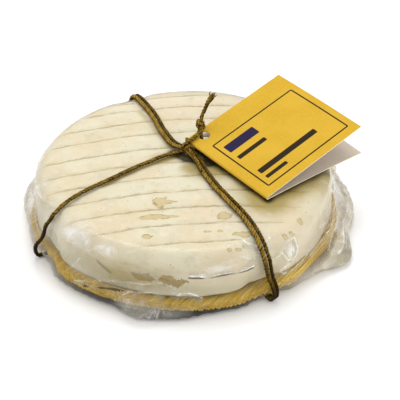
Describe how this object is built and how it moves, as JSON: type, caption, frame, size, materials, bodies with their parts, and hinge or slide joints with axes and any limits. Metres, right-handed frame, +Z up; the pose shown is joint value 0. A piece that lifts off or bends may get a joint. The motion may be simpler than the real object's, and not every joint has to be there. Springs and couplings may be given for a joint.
{
  "type": "wrapped soft goat cheese on a straw mat",
  "caption": "Round ridged soft cheese on a straw mat, in clear film tied crosswise with waxed twine that holds a folded card tag.",
  "frame": {"origin": "under the middle of the whole outline, on the surface that the film's underside rests on", "axes": "+Z up out of the cheese's top; +X to the right and +Y away in the view with the open side of the tag to the right"},
  "size_m": [0.1496, 0.1436, 0.0531],
  "materials": {
    "rind": "soft, matt, cream-white bloomy rind with tan patches",
    "straw": "golden dry straw, slightly glossy",
    "clear_film": "thin, clear, crinkled film with sharp highlights",
    "waxed_twine": "dark brown twisted twine with a waxy surface",
    "card": "matt golden yellow card, greyish beige inside"
  },
  "bodies": {
    "root": {"cheese": "rind", "straw_mat": "straw", "film": "clear_film", "twine": "waxed_twine", "tag": "card"}
  },
  "joints": []
}
